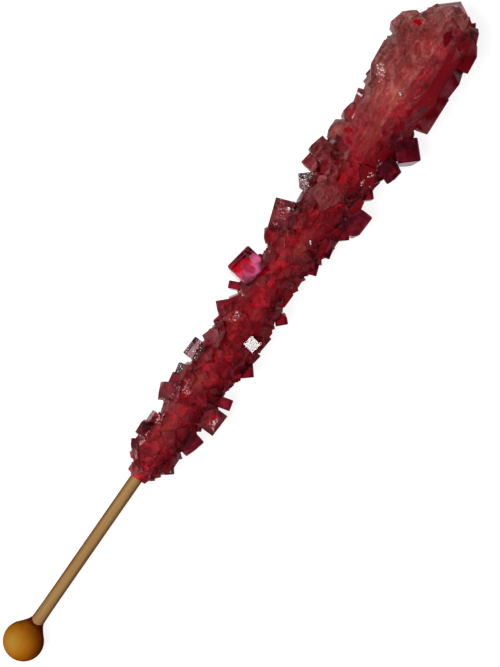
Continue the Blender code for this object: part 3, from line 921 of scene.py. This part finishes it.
class ROCKCANDY_OT_mass(bpy.types.Operator):
    """Make the cloudy grown-together sugar inside the candy"""
    bl_idname = "rockcandy.mass"
    bl_label = "Cloudy Mass"

    def execute(self, context):
        sizes = context.scene.rock_candy_sizes
        rng = random.Random(sizes.seed)
        inner = [crystal for kind, crystal in filling(rng, sizes.core_count, CORE_SUNK)]
        flanks = (*FLANK_CRYSTALS, *THICK_END_CRYSTALS)
        inner.extend(crystal for kind, crystal in listed(rng, flanks, False, 1, UNDERCUT, HEART)
                     if kind in CLOUDY_KINDS)
        bm = united(mass(rng, CORE_SWELL, rings=60, sides=16, unevenness=0.03), inner)
        keep_largest_part(bm)
        colour_core(bm, rng)
        piece = finished("cloudy_mass", bm, cloudy_sugar(context.scene.rock_candy_colours), False,
                         SIDE_STEP)
        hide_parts("rock_candy")
        return {"FINISHED"}


class ROCKCANDY_OT_crystals(bpy.types.Operator):
    """Grow the crystals round the cloudy mass"""
    bl_idname = "rockcandy.crystals"
    bl_label = "Sugar Crystals"

    def execute(self, context):
        sizes = context.scene.rock_candy_sizes
        rng = random.Random(sizes.seed)
        grown = {"dyed": [], "deep": [], "clear": [], "pink": [], "ruby": []}
        rows = [*listed(rng, FLANK_CRYSTALS, False, 3, UNDERCUT),
                *listed(rng, THICK_END_CRYSTALS, False, 5, UNDERCUT),
                *listed(rng, UPPER_CRYSTALS, True, 3), *listed(rng, RESTING_CRYSTALS, True, 3),
                *mirrors(rng, MIRROR_CRYSTALS), *filling(rng, sizes.fill_count)]
        for kind, bm in rows:
            grown[KINDS[kind][0]].append(bm)
        materials = self.materials(context.scene.rock_candy_colours)
        base = mass(rng, SHELL_SWELL, rings=40, sides=14, unevenness=0.05)
        for kind, crystals in grown.items():
            if kind == "dyed":
                bm = united(base, crystals)
                keep_largest_part(bm)
            else:
                bm = united(crystals[0], crystals[1:])
            soften(bm, kind == "dyed")
            if kind != "clear":
                dull(bm)
            piece = finished(kind + "_crystals", bm, materials[kind], sideways=SIDE_STEP)
        return {"FINISHED"}

    def materials(self, colours):
        """The five sugars, each with two colours of face, a range of roughness, the dye and how
        much of it, milkiness, and the range over which white grains spread."""
        few = (0.9, 1.0)
        some = (0.66, 0.80)
        many = (0.48, 0.66)
        sheen = colours.sheen
        # Stains and painted light: rows, colour, how opaque they are and where the colour is full.
        # The crimson rows are mostly painted shade.
        stains_and_painted_light = ((CRIMSON_AND_SHADE_PATCHES, colours.maroon, 0.6, 0.5),
                  (AMBER_PATCHES, colours.amber, 0.13, 1.6),
                  (HAZE_PATCHES, colours.haze, 0.09, 1.0),
                  (STREAKS, colours.haze, 0.14, 1.0),
                  (SCARLET_PATCHES, colours.scarlet, 0.5, 0.6))
        # The ruby crystal's painted glow, highlight and shade.
        gem_light_and_shade = ((GARNET_SHADE_PATCHES, colours.garnet_shade, 0.8, 0.5),
                  (HOT_PINK_GLOW_PATCHES, colours.hot_pink_glow, 0.7, 0.5),
                  (PALE_PINK_HIGHLIGHT_PATCHES, colours.pink, 0.6, 0.5))
        return {
            "dyed": clear_sugar("dyed_sugar", colours, (colours.dyed, colours.pale), (0.08, 0.48),
                                colours.dye, 900.0, 0.16, some, sheen, stains_and_painted_light, SPECKLED_AND_GLINT_PATCHES,
                                lined=1.0, ripple=0.45, shade_painted=True),
            "deep": clear_sugar("deep_dyed_sugar", colours, (colours.deep_face, colours.pink),
                                (0.05, 0.2), colours.deep_dye, 800.0, 0.5, some, sheen),
            "clear": clear_sugar("clear_sugar", colours, (colours.clear, colours.clear),
                                 (0.03, 0.25), colours.clear_dye, 260.0, 0.0, many, ripple=0.55),
            "pink": clear_sugar("pink_sugar", colours, (colours.pink, colours.pale), (0.1, 0.4),
                                colours.dye, 450.0, 0.6, many, sheen),
            "ruby": clear_sugar("ruby_sugar", colours, (colours.dyed, colours.pale), (0.02, 0.08),
                                colours.ruby_dye, 700.0, 0.0, few, sheen, gem_light_and_shade),
        }


def lathe(profile, steps):
    """A closed body turned about x from (along, radius) pairs."""
    bm = bmesh.new()
    points = [bm.verts.new((along, 0.0, radius)) for along, radius in profile]
    edges = [bm.edges.new(pair) for pair in zip(points, points[1:])]
    bmesh.ops.spin(bm, geom=points + edges, axis=(1.0, 0.0, 0.0), angle=2.0 * math.pi, steps=steps,
                   use_merge=True)
    bmesh.ops.remove_doubles(bm, verts=bm.verts, dist=1e-5)
    bmesh.ops.recalc_face_normals(bm, faces=bm.faces)
    return bm


def ball_profile(sizes):
    """Ball and the fillet of varnish that creeps up the dowel."""
    radius = sizes.ball_radius / MM
    end = Vector((sizes.varnish_end / MM, sizes.dowel_radius / MM + VARNISH_LIP))
    foot = Vector((math.cos(VARNISH_JOIN), math.sin(VARNISH_JOIN))) * radius
    bend = Vector(VARNISH_BEND)
    profile = [(end.x - VARNISH_TUCK, 0.0), (end.x, end.y)]
    for step in range(1, FILLET_STEPS):
        share = step / FILLET_STEPS
        point = end.lerp(bend, share).lerp(bend.lerp(foot, share), share)
        profile.append((point.x, point.y))
    for step in range(BALL_STEPS):
        angle = VARNISH_JOIN + (math.pi - VARNISH_JOIN) * step / BALL_STEPS
        profile.append((radius * math.cos(angle), radius * math.sin(angle)))
    profile.append((-radius, 0.0))
    return profile


def upward(co):
    """How far a point of a turned piece faces up: 1 on top, 0 at the sides and -1 below."""
    return co.z / max(1e-4, math.hypot(co.y, co.z))


def lower_collar(bm):
    """Brings the edge of the varnish closer to the ball on the upper side of the dowel."""
    for vert in bm.verts:
        top = max(0.0, upward(vert.co))
        vert.co.x -= COLLAR_DROP * top * top * share_between(vert.co.x, *COLLAR_RUN)


def dowel_profile(sizes):
    """Dowel, a little thicker where it enters the ball."""
    radius = sizes.dowel_radius / MM
    start = sizes.ball_radius / MM - DOWEL_SEAT
    end = sizes.dowel_end / MM
    profile = [(start, 0.0)]
    for step in range(DOWEL_STEPS + 1):
        along = start + (end - start) * step / DOWEL_STEPS
        profile.append((along, radius + DOWEL_FLARE * math.exp(-(along - start) / FLARE_RUN)))
    profile.append((end, 0.0))
    return profile


def paint_ball_shading(bm):
    """Marks the ball's painted light: 0 at a painted highlight on the side toward the light, rising
    to painted shade round the sides and below, with more painted shade in the neck crease.
    """
    layer = bm.verts.layers.float.new("darkened")
    for vert in bm.verts:
        side = share_between(vert.co.normalized().angle(BALL_HIGHLIGHT_DIRECTION), *BALL_SHADE_RUN)
        vert[layer] = min(1.0, side + CREASE_SHADE_SHARE * share_between(vert.co.x, *CREASE_SHADE_RUN))


def paint_dowel_shading(bm):
    """Marks the dowel's painted shade: none on top, growing down the sides and below."""
    layer = bm.verts.layers.float.new("darkened")
    for vert in bm.verts:
        vert[layer] = share_between(1.0 - upward(vert.co), *DOWEL_SHADE_RUN)


def grain_and_painted_shading(add, scale, detail, roughness, high, much):
    """Grain along the stick, and how dark the wood is with it and with the painted shading."""
    along = add("Mapping", {"Vector": add("TexCoord", {}, "Object"), "Scale": scale})
    grain = add("TexNoise", {"Vector": along, "Scale": 1.0, "Detail": detail,
                             "Roughness": roughness})
    streaks = add("MapRange", {"Value": grain, "From Min": 0.3, "From Max": high, "To Max": much})
    tone = add("Attribute", {}, "Fac", attribute_name="darkened")
    return grain, add("Math", {0: tone, 1: streaks}, operation="ADD", use_clamp=True)


def birch_material(colours):
    """Bare birch dowel: fine long grain with short darker flecks, matt, with painted shade down the
    sides and below.
    """
    material, add = new_material("bare_birch")
    grain, dark = grain_and_painted_shading(add, BARE_GRAIN, 4.0, 0.65, 0.8, 0.45)
    colour = layered(add, colours.wood, ((dark, colours.wood_grain_and_shade),))
    bump = add("Bump", {"Strength": 0.3, "Distance": GRAIN_HEIGHT, "Height": grain})
    finish_material(add, {"Base Color": colour, "Roughness": 0.6, "Specular IOR Level": 0.02,
                          "Normal": bump})
    return material


def varnished_material(colours):
    """Birch ball dipped in amber varnish: satin, the grain faint, with a painted highlight on the
    side toward the light that turns through amber to painted shade round the sides, below and in the
    neck.
    """
    material, add = new_material("varnished_birch")
    dark = grain_and_painted_shading(add, VARNISHED_GRAIN, 3.0, 0.6, 0.9, 0.16)[1]
    # Painted light: the colour runs from the painted highlight to amber, then on to painted shade.
    highlight_to_amber = add("MapRange", {"Value": dark, "From Max": 0.42})
    thick = add("MapRange", {"Value": dark, "From Min": 0.42})
    colour = layered(add, colours.varnish_highlight, ((highlight_to_amber, colours.varnish),
                                                 (thick, colours.varnish_shade)))
    finish_material(add, {"Base Color": colour, "Roughness": 0.4, "Specular IOR Level": 0.0})
    return material


class ROCKCANDY_OT_ball(bpy.types.Operator):
    """Turn the varnished ball"""
    bl_idname = "rockcandy.ball"
    bl_label = "Ball"

    def execute(self, context):
        bm = lathe(ball_profile(context.scene.rock_candy_sizes), BALL_SIDES)
        lower_collar(bm)
        paint_ball_shading(bm)
        ball = finished("varnished_ball", bm, varnished_material(context.scene.rock_candy_colours))
        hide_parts("ball")
        return {"FINISHED"}


class ROCKCANDY_OT_dowel(bpy.types.Operator):
    """Turn the bare dowel"""
    bl_idname = "rockcandy.dowel"
    bl_label = "Dowel"

    def execute(self, context):
        bm = lathe(dowel_profile(context.scene.rock_candy_sizes), DOWEL_SIDES)
        paint_dowel_shading(bm)
        dowel = finished("bare_dowel", bm, birch_material(context.scene.rock_candy_colours))
        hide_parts("stick")
        return {"FINISHED"}


def opal_acrylic(colour, glow):
    """Opal acrylic of a light table: matt white, lit from below so that shadows stay pale."""
    material, add = new_material("opal_acrylic")
    finish_material(add, {"Base Color": colour, "Roughness": 0.9, "Specular IOR Level": 0.2,
                          "Emission Color": WHITE, "Emission Strength": glow})
    return material


class ROCKCANDY_OT_studio(bpy.types.Operator):
    """Set the floor, the lights and the camera"""
    bl_idname = "rockcandy.studio"
    bl_label = "Studio"

    def execute(self, context):
        scene = context.scene
        settings = scene.rock_candy_studio
        bm = bmesh.new()
        bmesh.ops.create_grid(bm, x_segments=1, y_segments=1, size=FLOOR_SIZE)
        floor = placed("floor", bm, scene.collection)
        glowing = opal_acrylic(scene.rock_candy_colours.floor, settings.table_glow)
        floor.data.materials.append(glowing)

        right = Vector((math.cos(VIEW_TURN), -math.sin(VIEW_TURN), 0.0))
        up = Vector((math.sin(VIEW_TURN), math.cos(VIEW_TURN), 0.0))
        over = Vector((0.0, 0.0, 1.0))
        aim = ball_centre() + Vector((*AIM, 0.0)) * MM
        aim.z = AIM_HEIGHT * MM
        data = bpy.data.cameras.new("camera")
        data.lens = data.sensor_width * CAMERA_DISTANCE / VIEW_HEIGHT
        camera = bpy.data.objects.new("camera", data)
        camera.matrix_world = (Matrix.Translation(aim + over * CAMERA_DISTANCE)
                               @ Matrix((right, up, over)).transposed().to_4x4())
        scene.collection.objects.link(camera)
        scene.camera = camera

        for name, over_share, right_share, up_share, size in LIGHTS:
            data = bpy.data.lights.new(name, "AREA")
            data.shape = "DISK"
            data.size = size
            data.energy = getattr(settings, name + "_power")
            light = bpy.data.objects.new(name, data)
            away = (over * over_share + right * right_share + up * up_share) * LIGHT_DISTANCE
            light.location = aim + away
            light.rotation_euler = (-away).to_track_quat("-Z", "Y").to_euler()
            scene.collection.objects.link(light)

        world = bpy.data.worlds.new("room")
        world.use_nodes = True
        background = world.node_tree.nodes["Background"]
        background.inputs["Color"].default_value = (*WHITE, 1.0)
        background.inputs["Strength"].default_value = settings.surround
        scene.world = world
        scene.view_settings.view_transform = "Standard"
        return {"FINISHED"}


class ROCKCANDY_PT_panel(bpy.types.Panel):
    """Lists the pieces of the rock candy stick"""
    bl_idname = "ROCKCANDY_PT_panel"
    bl_label = "Rock Candy Stick"
    bl_space_type = "VIEW_3D"
    bl_region_type = "UI"
    bl_category = "Rock Candy"

    def draw(self, context):
        layout = self.layout
        for operator in OPERATORS:
            layout.operator(operator.bl_idname)
        for group in [getattr(context.scene, name) for name in SETTINGS]:
            box = layout.box()
            for key in group.bl_rna.properties.keys():
                if key not in {"rna_type", "name"}:
                    box.prop(group, key)


OPERATORS = (ROCKCANDY_OT_mass, ROCKCANDY_OT_crystals, ROCKCANDY_OT_ball, ROCKCANDY_OT_dowel,
             ROCKCANDY_OT_studio)
SETTINGS = {"rock_candy_sizes": RockCandySizes, "rock_candy_colours": RockCandyColours,
            "rock_candy_studio": StudioSettings}
CLASSES = (*SETTINGS.values(), *OPERATORS, ROCKCANDY_PT_panel)


def register():
    for cls in CLASSES:
        bpy.utils.register_class(cls)
    for name, group in SETTINGS.items():
        setattr(bpy.types.Scene, name, bpy.props.PointerProperty(type=group))


def unregister():
    for name in SETTINGS:
        delattr(bpy.types.Scene, name)
    for cls in reversed(CLASSES):
        bpy.utils.unregister_class(cls)


def main():
    register()
    bpy.ops.rockcandy.mass()
    bpy.ops.rockcandy.crystals()
    bpy.ops.rockcandy.ball()
    bpy.ops.rockcandy.dowel()
    bpy.ops.rockcandy.studio()


if __name__ == "__main__":
    main()
